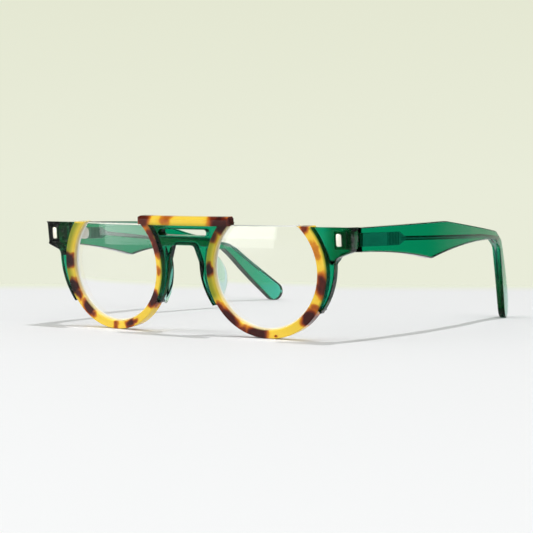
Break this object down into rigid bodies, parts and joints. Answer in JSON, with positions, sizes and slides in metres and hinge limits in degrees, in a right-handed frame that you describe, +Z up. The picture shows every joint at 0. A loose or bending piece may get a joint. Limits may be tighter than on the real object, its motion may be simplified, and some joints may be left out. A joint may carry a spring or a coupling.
{
  "type": "round eyeglasses",
  "caption": "Round flat-topped spectacles: bowed laminated front with a brow bar, splayed nose pads, and hinged side arms with metal cores and curved ear pieces.",
  "frame": {"origin": "on the floor under the middle of the open pair's length, on the plane between the two lenses", "axes": "+X to the wearer's left, +Y from the front back to the ears, +Z up; the arms are open and the rims and ear tips stand on Z = 0"},
  "size_m": [0.1402, 0.1442, 0.0422],
  "materials": {
    "tortoise_acetate": "polished tortoise acetate",
    "green_acetate": "polished translucent green acetate",
    "clear_acetate": "polished clear green acetate",
    "lens": "clear",
    "plaque_metal": "polished",
    "hinge_steel": "tumbled",
    "core_steel": "drawn, with pressed ribs"
  },
  "bodies": {
    "front": {"rim_front": "tortoise_acetate", "bridge": "green_acetate", "end_piece_left": "green_acetate", "end_piece_right": "green_acetate", "nose_pad_left": "clear_acetate", "nose_pad_right": "clear_acetate", "lens_left": "lens", "lens_right": "lens", "plaque_left": "plaque_metal", "plaque_right": "plaque_metal", "front_hinge_left": "hinge_steel", "front_hinge_right": "hinge_steel", "hinge_pegs_left": "hinge_steel", "hinge_pegs_right": "hinge_steel", "hinge_screw_left": "hinge_steel", "hinge_screw_right": "hinge_steel"},
    "left_arm": {"temple_left": "green_acetate", "temple_hinge_left": "hinge_steel", "core_wire_left": "core_steel"},
    "right_arm": {"temple_right": "green_acetate", "temple_hinge_right": "hinge_steel", "core_wire_right": "core_steel"}
  },
  "joints": [
    {"name": "left_fold", "type": "hinge", "parent": "front", "child": "left_arm", "pos_m": [0.06223, -0.05804, 0.03475], "axis": [0, 0, 1], "range_deg": [0, 88]},
    {"name": "right_fold", "type": "hinge", "parent": "front", "child": "right_arm", "pos_m": [-0.06223, -0.05804, 0.03475], "axis": [0, 0, -1], "range_deg": [0, 80]}
  ]
}
